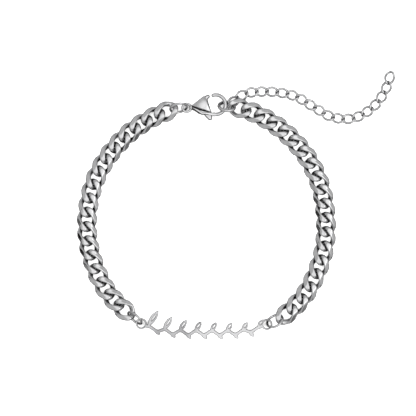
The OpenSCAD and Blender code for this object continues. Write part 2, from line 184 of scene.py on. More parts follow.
@dataclass(frozen=True)
class SteelFinish:
    """Polished stainless steel with fine marks, uneven gloss, and painted shade in its hollows and where its
    mask is low.
    """

    name: str
    grain: Grain
    bright: tuple[float, float, float] = (0.84, 0.84, 0.85)
    dull: tuple[float, float, float] = (0.72, 0.72, 0.73)
    gloss: Span = (0.10, 0.24)
    mark_size: float = 0.05
    mark_depth: float = 0.0008
    mark_detail: float = 4.0
    mark_span: Span = (0.35, 0.65)
    mark_gloss: Span = (-0.03, 0.05)
    patch_size: float = 1.6
    patch_detail: float = 3.0
    patch_span: Span = (0.38, 0.58)
    gloss_span: Span = (0.3, 0.7)
    # Share of the colour kept where the mask is 0: painted shade, and on the links also a darker unground
    # wire
    unground_and_painted_shade: float = 0.9
    # Painted shade in hollows and gaps: how far occlusion looks, with how many rays, over which values, and
    # the darkest share
    painted_shade_reach: float = 1.5
    painted_shade_rays: int = 8
    painted_shade_span: Span = (0.2, 0.56)
    painted_shade_least: float = 0.03

    def material(self) -> bpy.types.Material:
        """Builds the node material, unless an earlier piece has it already.

        Returns:
            The material.
        """
        made = bpy.data.materials.get(self.name)
        if made is not None:
            return made
        made = bpy.data.materials.new(self.name)
        made.use_nodes = True
        tree = made.node_tree
        tree.nodes.clear()
        output = tree.nodes.new("ShaderNodeOutputMaterial")
        steel = tree.nodes.new("ShaderNodeBsdfPrincipled")
        steel.inputs["Metallic"].default_value = 1.0
        patches = self._noise(tree, self.patch_size, Grain.TUMBLED, self.patch_detail)
        marks = self._noise(tree, self.mark_size, self.grain, self.mark_detail)
        tree.links.new(self._colour(tree, patches), steel.inputs["Base Color"])
        tree.links.new(self._roughness(tree, patches, marks), steel.inputs["Roughness"])
        tree.links.new(self._relief(tree, marks), steel.inputs["Normal"])
        tree.links.new(steel.outputs["BSDF"], output.inputs["Surface"])
        return made

    def _colour(self, tree: bpy.types.NodeTree, patches: bpy.types.NodeSocket) -> bpy.types.NodeSocket:
        """Mixes the bright and the dull steel, and multiplies in the painted shade.

        Args:
            tree: The material's nodes.
            patches: Height of the broad, uneven patches.

        Returns:
            The socket with the colour.
        """
        mix = tree.nodes.new("ShaderNodeMix")
        mix.data_type = "RGBA"
        mix.inputs["A"].default_value = (*self.dull, 1.0)
        mix.inputs["B"].default_value = (*self.bright, 1.0)
        tree.links.new(ranged(tree, patches, self.patch_span, WHOLE), mix.inputs["Factor"])
        shaded = tree.nodes.new("ShaderNodeVectorMath")
        shaded.operation = "SCALE"
        tree.links.new(mix.outputs["Result"], shaded.inputs[0])
        tree.links.new(self._shade(tree), shaded.inputs["Scale"])
        return shaded.outputs["Vector"]

    def _shade(self, tree: bpy.types.NodeTree) -> bpy.types.NodeSocket:
        """Paints shade into the colour: a darker share where the mask is low, and darker hollows and gaps by
        occlusion.

        Args:
            tree: The material's nodes.

        Returns:
            The socket with the share of the colour that is left.
        """
        polish_and_shade_mask = tree.nodes.new("ShaderNodeAttribute")
        polish_and_shade_mask.attribute_name = POLISH_AND_SHADE_MASK
        # Painted shade: occlusion darkens the colour in hollows, creases and gaps between parts
        hollow = tree.nodes.new("ShaderNodeAmbientOcclusion")
        hollow.samples = self.painted_shade_rays
        hollow.inputs["Distance"].default_value = self.painted_shade_reach * MM
        # Painted shade where the mask is low
        mask_share = ranged(tree, polish_and_shade_mask.outputs["Fac"], WHOLE, (self.unground_and_painted_shade, 1.0))
        unoccluded = ranged(tree, hollow.outputs["AO"], self.painted_shade_span, (self.painted_shade_least, 1.0))
        shade = tree.nodes.new("ShaderNodeMath")
        shade.operation = "MULTIPLY"
        tree.links.new(mask_share, shade.inputs[0])
        tree.links.new(unoccluded, shade.inputs[1])
        return shade.outputs[0]

    def _roughness(
        self, tree: bpy.types.NodeTree, patches: bpy.types.NodeSocket, marks: bpy.types.NodeSocket
    ) -> bpy.types.NodeSocket:
        """Varies the gloss from patch to patch, and a little from mark to mark.

        Args:
            tree: The material's nodes.
            patches: Height of the broad, uneven patches.
            marks: Height of the fine marks.

        Returns:
            The socket with the roughness.
        """
        total = tree.nodes.new("ShaderNodeMath")
        total.operation = "ADD"
        tree.links.new(ranged(tree, patches, self.gloss_span, self.gloss), total.inputs[0])
        tree.links.new(ranged(tree, marks, self.mark_span, self.mark_gloss), total.inputs[1])
        return total.outputs[0]

    def _relief(self, tree: bpy.types.NodeTree, marks: bpy.types.NodeSocket) -> bpy.types.NodeSocket:
        """Gives the fine marks their depth.

        Args:
            tree: The material's nodes.
            marks: Height of the fine marks.

        Returns:
            The socket with the normal.
        """
        bump = tree.nodes.new("ShaderNodeBump")
        bump.inputs["Strength"].default_value = 1.0
        bump.inputs["Distance"].default_value = self.mark_depth * MM
        tree.links.new(marks, bump.inputs["Height"])
        return bump.outputs["Normal"]

    @staticmethod
    def _noise(tree: bpy.types.NodeTree, size: float, grain: Grain, detail: float) -> bpy.types.NodeSocket:
        """Adds a noise over the piece's own coordinates.

        Args:
            tree: The material's nodes.
            size: Size of the noise's cells, in millimetres.
            grain: How the cells are stretched.
            detail: Octaves of the noise.

        Returns:
            The socket with the noise's height.
        """
        where = tree.nodes.new("ShaderNodeTexCoord")
        mapping = tree.nodes.new("ShaderNodeMapping")
        mapping.inputs["Scale"].default_value = grain.value
        noise = tree.nodes.new("ShaderNodeTexNoise")
        noise.inputs["Scale"].default_value = 1 / (size * MM)
        noise.inputs["Detail"].default_value = detail
        tree.links.new(where.outputs["Object"], mapping.inputs["Vector"])
        tree.links.new(mapping.outputs["Vector"], noise.inputs["Vector"])
        return noise.outputs["Fac"]


@dataclass(frozen=True)
class Piece:
    """What a finished mesh is called, which node it stands for, what it rides on and how it is finished."""

    name: str
    node: str
    slot: str
    finish: SteelFinish
    body: Body = Body.BRACELET

    def add(self, shape: Shape, matrix: Matrix) -> bpy.types.Object:
        """Makes the object, dresses it and puts it on its body.

        Args:
            shape: The mesh, in the piece's own frame.
            matrix: Where the piece goes.

        Returns:
            The new object.
        """
        mesh = bpy.data.meshes.new(self.name)
        mesh.from_pydata((shape.points * MM).tolist(), [], shape.faces)
        work = bmesh.new()
        work.from_mesh(mesh)
        bmesh.ops.recalc_face_normals(work, faces=work.faces)
        work.to_mesh(mesh)
        work.free()
        mesh.shade_smooth()
        for index in shape.flat_faces:
            mesh.polygons[index].use_smooth = False
        if shape.normals is not None:
            mesh.normals_split_custom_set_from_vertices(shape.normals.tolist())
        polish_and_shade_mask = shape.polish_and_shade_mask if shape.polish_and_shade_mask is not None else np.ones(len(shape.points))
        mesh.attributes.new(POLISH_AND_SHADE_MASK, "FLOAT", "POINT").data.foreach_set("value", polish_and_shade_mask.astype(np.float32))
        mesh.materials.append(self.finish.material())
        made = bpy.data.objects.new(self.name, mesh)
        bpy.context.scene.collection.objects.link(made)
        made.matrix_world = matrix
        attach(made, self.body.value)
        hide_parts(self.node)
        triangles = sum(len(p.vertices) - 2 for p in mesh.polygons)
        log.info("%s: %d triangles in place of %s", self.name, triangles, self.node)
        return made


def soft_least(values: Sequence[np.ndarray], softness: float) -> np.ndarray:
    """The least of several values, rounded where two of them are close.

    Args:
        values: Arrays of the same shape.
        softness: How far the rounding reaches.

    Returns:
        The rounded least values, never above the true ones.
    """
    low = np.minimum.reduce(values)
    return low - softness * np.log(sum(np.exp((low - v) / softness) for v in values))


def side_angles(sides: int) -> np.ndarray:
    """Angle of each side round a wire's section, in radians."""
    return 2 * np.pi * (np.arange(sides) + 0.5) / sides


def sweep(
    mids: np.ndarray, outs: np.ndarray, acrosses: np.ndarray, reach: np.ndarray, closed: bool
) -> Shape:
    """Joins sections along a centre line into a tube.

    Args:
        mids: Middle of each section.
        outs: Unit vector out of the bend at each section.
        acrosses: Unit vector square to it and to the centre line.
        reach: Radius of each section by side, sections by sides.
        closed: Whether the last section meets the first.

    Returns:
        The tube, with flat ends where it is open.
    """
    count, sides = reach.shape
    turn = side_angles(sides)
    points = (
        mids[:, None, :]
        + (reach * np.cos(turn))[..., None] * outs[:, None, :]
        + (reach * np.sin(turn))[..., None] * acrosses[:, None, :]
    )
    faces = []
    for i in range(count if closed else count - 1):
        here, after = i * sides, ((i + 1) % count) * sides
        for k in range(sides):
            k2 = (k + 1) % sides
            faces.append((here + k, after + k, after + k2, here + k2))
    if not closed:
        faces.append(tuple(range(sides)))
        faces.append(tuple(reversed(range((count - 1) * sides, count * sides))))
    return Shape(points.reshape(-1, 3), faces)


@dataclass(frozen=True)
class TwistedLink:
    """A closed oval link of pressed wire, twisted along its length and ground on planes about its middle."""

    length: float
    width: float
    wire: float
    twist: float
    rings: int
    sides: int
    planes: tuple[tuple[tuple[float, float, float], float], ...] = ()
    softness: float = 0.03
    pressed: float = 1.0
    square: float = 2.0
    crown: float = 0.0

    def _line(self, t: np.ndarray) -> tuple[np.ndarray, np.ndarray]:
        """Centre line and the way out of the oval.

        Args:
            t: Angle round the oval, in degrees.

        Returns:
            The points and the outward vectors.
        """
        a, b = (self.length - self.wire) / 2, (self.width - self.wire) / 2
        angle = np.radians(t)
        roll = np.radians(-self.twist * np.cos(angle))

        def oval(along: float, aside: float) -> np.ndarray:
            """Points of an oval with those half axes, rolled about its length."""
            out = aside * np.sin(angle)
            return np.stack([along * np.cos(angle), out * np.cos(roll), out * np.sin(roll)], 1)

        return oval(a, b), oval(b, a)

    def shape(self, lean: tuple[float, float] = (0.0, 0.0)) -> Shape:
        """Builds the link with its length along x.

        Args:
            lean: Degrees by which the grinding planes lean about x and y.

        Returns:
            The link's mesh.
        """
        t = 360 * (np.arange(self.rings) + 0.5) / self.rings
        mids, radial = self._line(t)
        along = self._line(t + 1)[0] - self._line(t - 1)[0]
        along /= np.linalg.norm(along, axis=1, keepdims=True)
        outs = radial - np.sum(radial * along, 1, keepdims=True) * along
        outs /= np.linalg.norm(outs, axis=1, keepdims=True)
        acrosses = np.cross(along, outs)
        turn = side_angles(self.sides)
        cos, sin = np.cos(turn)[None, :, None], np.sin(turn)[None, :, None]
        ways = cos * outs[:, None, :] + sin * acrosses[:, None, :]
        level = np.abs(ways[..., 2])
        flat = np.sqrt(1 - level**2) / self.pressed
        wire = self.wire / 2 / (level**self.square + flat**self.square) ** (1 / self.square)
        about_x, about_y = (Matrix.Rotation(math.radians(a), 3, axis) for a, axis in zip(lean, "XY"))
        tilt = np.array(about_x @ about_y)
        options = [wire]
        for normal, distance in self.planes:
            n = tilt @ np.array(normal)
            facing = ways @ n
            room = distance - mids @ n
            options.append(np.where(facing > GRAZING, room[:, None] / np.maximum(facing, GRAZING), FAR))
        reach = soft_least(options, self.softness)
        shape = sweep(mids, outs, acrosses, reach, True)
        # Mask 1 on the ground faces, 0 on the round wire, which the finish darkens: partly unground wire,
        # partly painted shade where it dips under its neighbours
        shape.polish_and_shade_mask = np.clip((wire - reach).ravel() / (2 * self.softness) - 0.5, 0, 1)
        shape.points[:, 2] *= 1 - self.crown * (shape.points[:, 1] / (self.width / 2)) ** 2
        return shape


@dataclass(frozen=True)
class RoundRing:
    """A round jump ring, closed but for the hairline in direction seam_at where its two ends meet."""

    od: float
    wire: float
    lean: float
    seam_at: float
    seam: float = 0.035
    end_round: float = 0.04
    rings: int = 128
    sides: int = 24

    @property
    def radius(self) -> float:
        """Mean radius of the ring."""
        return (self.od - self.wire) / 2

    @property
    def height(self) -> float:
        """Height of the ring's middle as it stands, leaning, on the surface."""
        return self.radius * sind(abs(self.lean)) + self.wire / 2

    def reach(self, level: float) -> float:
        """How far along its long axis the ring's wire passes through a level."""
        up = (level - self.height) / (self.radius * sind(abs(self.lean)))
        return self.radius * math.sqrt(1 - up**2)

    def aside(self, level: float) -> float:
        """How far to the side the ring's wire passes through a level."""
        return (level - self.height) / math.tan(math.radians(self.lean))

    def shape(self) -> Shape:
        """Builds the ring flat about its own origin.

        Returns:
            The ring's mesh.
        """
        half_gap = math.degrees(self.seam / 2 / self.radius)
        rounding = math.degrees(self.end_round / self.radius)
        inner = np.linspace(half_gap + rounding, 360 - half_gap - rounding, self.rings)
        t = np.radians(np.concatenate([[half_gap], inner, [360 - half_gap]]) + self.seam_at)
        outs = np.stack([np.cos(t), np.sin(t), np.zeros_like(t)], 1)
        acrosses = np.tile([0.0, 0.0, 1.0], (len(t), 1))
        reach = np.full((len(t), self.sides), self.wire / 2)
        reach[[0, -1]] -= self.end_round
        return sweep(self.radius * outs, outs, acrosses, reach, False)


def smooth_join(a: np.ndarray, b: np.ndarray, softness: float) -> np.ndarray:
    """Union of two distance fields with a fillet of about that softness."""
    h = np.clip(0.5 + 0.5 * (b - a) / softness, 0, 1)
    return b + (a - b) * h - softness * h * (1 - h)


def smooth_keep(a: np.ndarray, b: np.ndarray, softness: float) -> np.ndarray:
    """Intersection of two distance fields with rounded edges."""
    return -smooth_join(-a, -b, softness)


def polygon_distance(x: np.ndarray, y: np.ndarray, corners: Sequence[Point]) -> np.ndarray:
    """Signed distance from a closed polygon, negative inside it.

    Args:
        x: First coordinate of each point.
        y: Second coordinate of each point.
        corners: The polygon's corners in order.

    Returns:
        The distance at each point.
    """
    nearest = np.full(x.shape, np.inf)
    inside = np.zeros(x.shape, bool)
    for (ax, ay), (bx, by) in zip(corners, [*corners[1:], corners[0]]):
        ex, ey = bx - ax, by - ay
        wx, wy = x - ax, y - ay
        t = np.clip((wx * ex + wy * ey) / (ex * ex + ey * ey), 0, 1)
        nearest = np.minimum(nearest, (wx - t * ex) ** 2 + (wy - t * ey) ** 2)
        if ey:
            inside ^= ((ay > y) != (by > y)) & (wx < ex * wy / ey)
    return np.where(inside, -1, 1) * np.sqrt(nearest)


def line_distance(x: np.ndarray, y: np.ndarray, line: Sequence[Point]) -> np.ndarray:
    """Distance from an open line of straight stretches.

    Args:
        x: First coordinate of each point.
        y: Second coordinate of each point.
        line: The line's points in order.

    Returns:
        The distance at each point.
    """
    nearest = np.full(x.shape, np.inf)
    for (ax, ay), (bx, by) in zip(line[:-1], line[1:]):
        ex, ey = bx - ax, by - ay
        t = np.clip(((x - ax) * ex + (y - ay) * ey) / (ex * ex + ey * ey), 0, 1)
        nearest = np.minimum(nearest, (x - ax - t * ex) ** 2 + (y - ay - t * ey) ** 2)
    return np.sqrt(nearest)


def thick(plan: np.ndarray, z: np.ndarray, half: float, edge: float) -> np.ndarray:
    """Gives a plan a thickness, with rounded edges.

    Args:
        plan: Signed distance in the plan.
        z: Height of each point.
        half: Half the thickness.
        edge: Radius of the edges.

    Returns:
        The distance field of the solid.
    """
    u, v = plan + edge, np.abs(z) - half + edge
    return np.minimum(np.maximum(u, v), 0) + np.hypot(np.maximum(u, 0), np.maximum(v, 0)) - edge


def bevelled(
    plan: np.ndarray, z: np.ndarray, half: float, width: float, slant: float, softness: float
) -> np.ndarray:
    """Gives a plan a thickness, with bevelled edges.

    Args:
        plan: Signed distance in the plan.
        z: Height of each point.
        half: Half the thickness.
        width: Width of the bevel, seen from above.
        slant: How steep the bevel is, in degrees.
        softness: How far the bevel's own edges are rounded.

    Returns:
        The distance field of the solid.
    """
    level = np.abs(z) - half
    bevel = (plan + width) * sind(slant) + level * cosd(slant)
    return smooth_keep(np.maximum(plan, level), bevel, softness)


def slope(solid: Field, points: np.ndarray, step: float = 0.01) -> np.ndarray:
    """Slope of a field at some points.

    Args:
        solid: The field.
        points: Where it is wanted.
        step: How far apart the field is read.

    Returns:
        One vector for each point.
    """
    parts = []
    for axis in range(points.shape[1]):
        shift = np.zeros(points.shape[1])
        shift[axis] = step
        parts.append((solid(points + shift) - solid(points - shift)) / (2 * step))
    return np.stack(parts, 1)


def settle(solid: Field, points: np.ndarray, cell: float) -> tuple[np.ndarray, np.ndarray]:
    """Moves points onto the surface of a field.

    Args:
        solid: The field.
        points: Points near its surface.
        cell: Size of the cells that the points came from, a share of which is the most that they move.

    Returns:
        The moved points and the outward normals there.
    """
    start = points
    most = cell * SETTLE_SHARE
    for _ in range(SETTLE_ROUNDS):
        g = slope(solid, points)
        square = np.maximum(np.sum(g * g, 1, keepdims=True), LEAST_SLOPE)
        points = points - solid(points)[:, None] * g / square
        points = start + np.clip(points - start, -most, most)
    g = slope(solid, points)
    return points, g / np.maximum(np.linalg.norm(g, axis=1, keepdims=True), LEAST_LENGTH)


def net_surface(solid: Field, low: Sequence[float], high: Sequence[float], cell: float) -> Shape:
    """Meshes a solid field: one point in each cell that its surface crosses.

    Args:
        solid: The field, negative inside.
        low: Lowest corner of the box that holds the solid.
        high: Highest corner.
        cell: Size of a cell.

    Returns:
        The closed mesh, with true normals.
    """
    axes = [np.arange(a, b + cell, cell) for a, b in zip(low, high)]
    grid = np.stack(np.meshgrid(*axes, indexing="ij"), -1)
    values = solid(grid.reshape(-1, 3)).reshape(grid.shape[:3])
    inside = values < 0
    cells = tuple(n - 1 for n in values.shape)
    total = np.zeros((*cells, 3))
    count = np.zeros(cells)
    edges = []
    for axis in range(3):
        a, b = (np.take(values, range(s, values.shape[axis] - 1 + s), axis) for s in (0, 1))
        cross = (a < 0) != (b < 0)
        share = np.where(cross, a / np.where(cross, a - b, 1.0), 0.0)
        edges.append((axis, cross))
        u, v = [other for other in range(3) if other != axis]
        for du in (0, 1):
            for dv in (0, 1):
                part = [slice(None)] * 3
                part[u], part[v] = slice(du, du + cells[u]), slice(dv, dv + cells[v])
                hit = cross[tuple(part)]
                total[..., axis] += np.where(hit, share[tuple(part)], 0.0)
                total[..., u] += hit * du
                total[..., v] += hit * dv
                count += hit
    active = count > 0
    number = np.full(cells, -1)
    number[active] = np.arange(active.sum())
    corner = np.stack(np.nonzero(active), 1)
    points = np.array(low) + cell * (corner + total[active] / count[active][:, None])
    faces: list[tuple[int, ...]] = []
    for axis, cross in edges:
        u, v = [other for other in range(3) if other != axis]
        at = np.stack(np.nonzero(cross), 1)
        at = at[(at[:, u] > 0) & (at[:, v] > 0) & (at[:, u] < cells[u]) & (at[:, v] < cells[v])]
        rows = []
        for du, dv in ((-1, -1), (0, -1), (0, 0), (-1, 0)):
            index = at.copy()
            index[:, u] += du
            index[:, v] += dv
            rows.append(number[tuple(index.T)])
        faces += [tuple(row) for row in np.stack(rows, 1).tolist()]
    points, normals = settle(solid, points, cell)
    return Shape(points, faces, normals)


def outlines(plan: Field, low: Point, high: Point, cell: float, shortest: int = 8) -> list[np.ndarray]:
    """Traces the outlines of a plan.

    Args:
        plan: The plan's distance field, negative inside.
        low: Lowest corner of the box that holds the plan.
        high: Highest corner.
        cell: Size of a cell.
        shortest: Rows of no more points than this are left out.

    Returns:
        Closed rows of points, one for each outline.
    """
    axes = [np.arange(a, b + cell, cell) for a, b in zip(low, high)]
    grid = np.stack(np.meshgrid(*axes, indexing="ij"), -1)
    values = plan(grid.reshape(-1, 2)).reshape(grid.shape[:2])
    crossings: dict[tuple[int, int], list[np.ndarray]] = {}
    links: dict[tuple[int, int], list[tuple[int, int]]] = {}
    for axis in (0, 1):
        a, b = (np.take(values, range(s, values.shape[axis] - 1 + s), axis) for s in (0, 1))
        for i, j in zip(*np.nonzero((a < 0) != (b < 0))):
            i, j = int(i), int(j)
            share = a[i, j] / (a[i, j] - b[i, j])
            point = np.array([i + (share if axis == 0 else 0), j + (share if axis == 1 else 0)])
            pair = ((i, j), (i, j - 1)) if axis == 0 else ((i, j), (i - 1, j))
            for here, there in (pair, pair[::-1]):
                crossings.setdefault(here, []).append(point)
                links.setdefault(here, []).append(there)
    rows = []
    left = set(links)
    while left:
        start = here = left.pop()
        row = [here]
        while True:
            onward = [n for n in links[here] if n in left]
            if not onward:
                break
            here = onward[0]
            left.discard(here)
            row.append(here)
        if len(row) > shortest and start in links[here]:
            points = np.array([np.mean(crossings[c], 0) for c in row]) * cell + np.array(low)
            rows.append(settle(plan, points, cell)[0])
    return rows


@dataclass
class CurbChain:
    """Both stretches of curb chain: twisted oval links, ground on two faces and slanted at the sides."""

    length: float = 6.0
    width: float = 4.7
    wire: float = 1.15
    twist: float = 50.0
    thickness: float = 2.0
    play: float = 0.29
    left: int = 18
    right: int = 19
    end_lift: float = 0.65
    lift_share: float = 0.5
    spread: float = 0.18
    side_flat: float = 2.51
    facet_edge: float = 1.27
    facet_slant: float = 39.0
    bevel_slant: float = 20.0
    bevel_width: float = 0.26
    wire_share: float = 0.933
    pressed: float = 1.2
    pressed_at_hook: float = 1.0
    square: float = 2.2
    crown: float = 0.11
    softness: float = 0.055
    grind_lean: float = 0.5
    seed: int = 7
    rings: int = 112
    sides: int = 40
    finish: SteelFinish = SteelFinish("tumbled_curb", Grain.TUMBLED, gloss=(0.07, 0.16))

    @property
    def pitch(self) -> float:
        """Distance from link to link."""
        return self.length - 2 * self.wire - self.play

    @property
    def tip(self) -> float:
        """Distance from a link's middle to its end wire."""
        return (self.length - self.wire) / 2

    def _planes(self) -> tuple[tuple[tuple[float, float, float], float], ...]:
        """Lists the ground faces and the slanted side facets.

        Returns:
            The normal of each plane, and its distance from the link's middle.
        """
        top = self.thickness / 2
        planes = [((0.0, 0.0, side), top) for side in (1.0, -1.0)]
        planes += [((0.0, side, 0.0), self.side_flat) for side in (1.0, -1.0)]
        bevel_edge = self.facet_edge - self.bevel_width / 2
        for slant, start in ((self.facet_slant, self.facet_edge), (self.bevel_slant, bevel_edge)):
            distance = start * sind(slant) + top * cosd(slant)
            planes += [((0.0, y * sind(slant), z * cosd(slant)), distance) for y in (1, -1) for z in (1, -1)]
        return tuple(planes)

    def build(self, plan: "LoopPlan") -> None:
        """Builds every link of both stretches.

        Args:
            plan: The loop that the links lie on.
        """
        dice = np.random.default_rng(self.seed)
        usual = TwistedLink(
            length=self.length,
            width=self.width + self.spread,
            wire=self.wire * self.wire_share,
            twist=self.twist,
            rings=self.rings,
            sides=self.sides,
            planes=self._planes(),
            softness=self.softness,
            pressed=self.pressed,
            square=self.square,
            crown=self.crown,
        )
        at_hook = replace(usual, pressed=self.pressed_at_hook)
        stretches = (("left", self.left, plan.left_first), ("right", self.right, plan.right_first))
        for side, count, start in stretches:
            spots = [self._spot(plan, i, count, start) for i in range(count)]
            before = [2 * spots[0] - spots[1], *spots[:-1]]
            after = [*spots[1:], 2 * spots[-1] - spots[-2]]
            for i, (spot, back, on) in enumerate(zip(spots, before, after)):
                way = on - back
                rise = -math.degrees(math.asin(way[2] / np.linalg.norm(way)))
                link = at_hook if side == "right" and i == count - 1 else usual
                shape = link.shape(tuple(dice.uniform(-self.grind_lean, self.grind_lean, 2)))
                name = f"{side}_curb_{i + 1:02d}"
                piece = Piece(name, f"{side}_link_{i + 1:02d}", "curb_steel", self.finish)
                piece.add(shape, place(spot, ("Z", heading(way)), ("Y", rise)))

    def _spot(self, plan: "LoopPlan", i: int, count: int, start: float) -> np.ndarray:
        """Place of one link, lifted near either end of its stretch.

        Args:
            plan: The loop that the link lies on.
            i: Number of the link from the start of its stretch.
            count: Number of links in the stretch.
            start: Direction of the stretch's first link.

        Returns:
            The link's middle.
        """
        lift = self.end_lift * (self.lift_share**i + self.lift_share ** (count - 1 - i))
        return np.array([*plan.station(start + i * plan.pitch_turn), self.thickness / 2 + lift])


@dataclass
class JumpRings:
    """The three fine jump rings and the stout ring that the hook holds."""

    left: RoundRing = RoundRing(4.55, 0.55, 66.0, 100.0)
    right: RoundRing = RoundRing(4.55, 0.55, -54.0, 80.0)
    eye: RoundRing = RoundRing(4.55, 0.55, -62.0, 95.0)
    stout: RoundRing = RoundRing(4.5, 0.75, 56.0, 265.0)
    finish: SteelFinish = SteelFinish("drawn_ring", Grain.DRAWN, gloss=(0.08, 0.18))

    def build(self, plan: "LoopPlan") -> None:
        """Builds the four rings where the loop has them.

        Args:
            plan: The loop that the rings lie on.
        """
        rows = (
            ("left_ring", "left_plate_ring", self.left, plan.left_ring_at, plan.left_ring_way),
            ("right_ring", "right_plate_ring", self.right, plan.right_ring_at, plan.right_ring_way),
            ("eye_ring", "clasp_ring", self.eye, plan.eye_ring_at, plan.eye_ring_way),
            ("stout_ring", "end_ring", self.stout, plan.end_ring_at, plan.end_ring_way),
        )
        for name, node, ring, at, way in rows:
            leaning = ring.shape().moved(place((0.0, 0.0, ring.height), ("X", ring.lean)))
            Piece(name, node, "ring_steel", self.finish).add(leaning, place([*at, 0.0], ("Z", way)))


@dataclass
class LeafPlate:
    """The pierced plate: a waved stem from eyelet to eyelet with slit leaves on both sides."""

    span: float = 30.1
    thickness: float = 0.8
    rise: float = 1.3
    eyelet_od: float = 2.65
    eyelet_hole: float = 1.85
    stem: float = 0.75
    drop: float = 2.1
    wave: float = 0.45
    fade_power: int = 4
    stem_steps: int = 24
    leaves: int = 8
    leaf_long: float = 4.6
    leaf_short: float = 2.4
    leaf_width: float = 1.5
    slant: float = 56.0
    shrink_power: int = 3
    width_kept: float = 0.55
    upper_start: float = 0.42
    lower_start: float = 0.85
    # The lower leaves as shares of the upper ones
    lower_slant: float = 0.75
    lower_length: float = 0.75
    lower_width: float = 0.6
    # The slit's width, and its place as shares of the leaf's length
    slit: float = 0.4
    slit_start: float = 0.32
    slit_length: float = 0.46
    # The edges, all round and over the plate's thickness
    fillet: float = 0.16
    tip: float = 0.14
    edge: float = 0.14
    edge_angles: tuple[float, ...] = (0.0, 22.5, 45.0, 67.5, 90.0)
    # Share of the edge radius next to each face that keeps the full colour; the rest of the edge wall gets
    # painted shade
    unshaded_edge_share: float = 0.07
    # Where the outline is looked for, and how finely
    side_room: float = 2.0
    low_room: float = 3.2
    top_room: float = 0.6
    cell: float = 0.07
    finish: SteelFinish = SteelFinish(
        "polished_sheet",
        Grain.SHEET,
        bright=(0.76, 0.76, 0.77),
        dull=(0.44, 0.44, 0.45),
        gloss=(0.12, 0.22),
        patch_size=7.0,
        # Painted shade: the edge walls keep only this share of the colour
        unground_and_painted_shade=0.26,
    )

    @property
    def half(self) -> float:
        """Half the distance between the eyelets."""
        return self.span / 2

    @property
    def level(self) -> float:
        """Height of the plate's middle plane."""
        return self.rise + self.thickness / 2

    def stem_y(self, x: float) -> float:
        """Height of the stem's middle above the line through the eyelets.

        Args:
            x: Distance from the plate's middle along that line.

        Returns:
            The height, which fades to nothing at the eyelets.
        """
        fade = 1 - (x / self.half) ** self.fade_power
        phase = 360 * self.leaves * (x + self.half) / self.span - 90
        return fade * (self.wave * sind(phase) - self.drop)

    def _leaf(
        self, p: np.ndarray, x: float, slant: float, start: float, length: float, width: float
    ) -> np.ndarray:
        """Field of one pointed leaf of two arcs.

        Args:
            p: Points in the plate's plan.
            x: Where the leaf stands on the stem.
            slant: Its direction, in degrees.
            start: How far from the stem's middle it begins.
            length: Its length.
            width: Its width.

        Returns:
            The signed distance at each point.
        """
        dx, dy = p[:, 0] - x, p[:, 1] - self.stem_y(x)
        u = dx * cosd(slant) + dy * sind(slant) - start - length / 2
        v = dy * cosd(slant) - dx * sind(slant)
        r = (length**2 + width**2) / (4 * width)
        upper, lower = np.hypot(u, v + r - width / 2) - r, np.hypot(u, v - r + width / 2) - r
        return smooth_keep(upper, lower, self.tip)

    def plan(self, p: np.ndarray) -> np.ndarray:
        """Field of the plate's whole outline.

        Args:
            p: Points in the plate's plan.

        Returns:
            The signed distance at each point.
        """
        count = self.stem_steps * self.leaves
        xs = [self.span * i / count - self.half for i in range(count + 1)]
        body = line_distance(p[:, 0], p[:, 1], [(x, self.stem_y(x)) for x in xs]) - self.stem / 2
        cuts = np.full(len(p), np.inf)
        for i in range(self.leaves):
            x = self.half * (2 * (i + self.upper_start) / self.leaves - 1)
            full = (1 - i / (self.leaves - 1)) ** self.shrink_power
            size = self.leaf_short + (self.leaf_long - self.leaf_short) * full
            width = self.leaf_width * (self.width_kept + (1 - self.width_kept) * size / self.leaf_long)
            body = smooth_join(body, self._leaf(p, x, self.slant, 0, size, width), self.fillet)
            slit = self._leaf(p, x, self.slant, size * self.slit_start, size * self.slit_length, self.slit)
            cuts = np.minimum(cuts, slit)
        slant, length = -self.slant * self.lower_slant, self.leaf_short * self.lower_length
        for i in range(self.leaves - 1):
            x = self.half * (2 * (i + self.lower_start) / self.leaves - 1)
            leaf = self._leaf(p, x, slant, 0, length, self.leaf_width * self.lower_width)
            body = smooth_join(body, leaf, self.fillet)
        for side in (-self.half, self.half):
            from_eyelet = np.hypot(p[:, 0] - side, p[:, 1])
            body = smooth_join(body, from_eyelet - self.eyelet_od / 2, self.fillet)
            cuts = np.minimum(cuts, from_eyelet - self.eyelet_hole / 2)
        return np.maximum(body, -cuts)

    def shape(self) -> Shape:
        """Builds the plate, with its edges rounded on both faces and painted shade on its edge walls.

        Returns:
            The plate's mesh, from its back at 0 to its front.
        """
        low = (-self.half - self.side_room, -self.drop - self.low_room)
        high = (self.half + self.side_room, self.leaf_long + self.top_room)
        work = bmesh.new()
        back: list[bmesh.types.BMEdge] = []
        front: list[bmesh.types.BMEdge] = []
        for row in outlines(self.plan, low, high, self.cell):
            g = slope(self.plan, row)
            g /= np.linalg.norm(g, axis=1, keepdims=True)
            rings = [[work.verts.new((*s, z)) for s in row - inset * g] for inset, z in self._profile()]
            after = [*range(1, len(row)), 0]
            for lower, upper in zip(rings[:-1], rings[1:]):
                for k, k2 in enumerate(after):
                    work.faces.new((lower[k], lower[k2], upper[k2], upper[k]))
            for cap, ring in ((back, rings[0]), (front, rings[-1])):
                cap.extend(work.edges.get((ring[k], ring[k2])) for k, k2 in enumerate(after))
        edge_count = len(work.faces)
        for cap in (back, front):
            bmesh.ops.triangle_fill(work, use_beauty=True, edges=cap)
        work.verts.index_update()
        points = np.array([v.co for v in work.verts])
        faces = [tuple(v.index for v in f.verts) for f in work.faces]
        work.free()
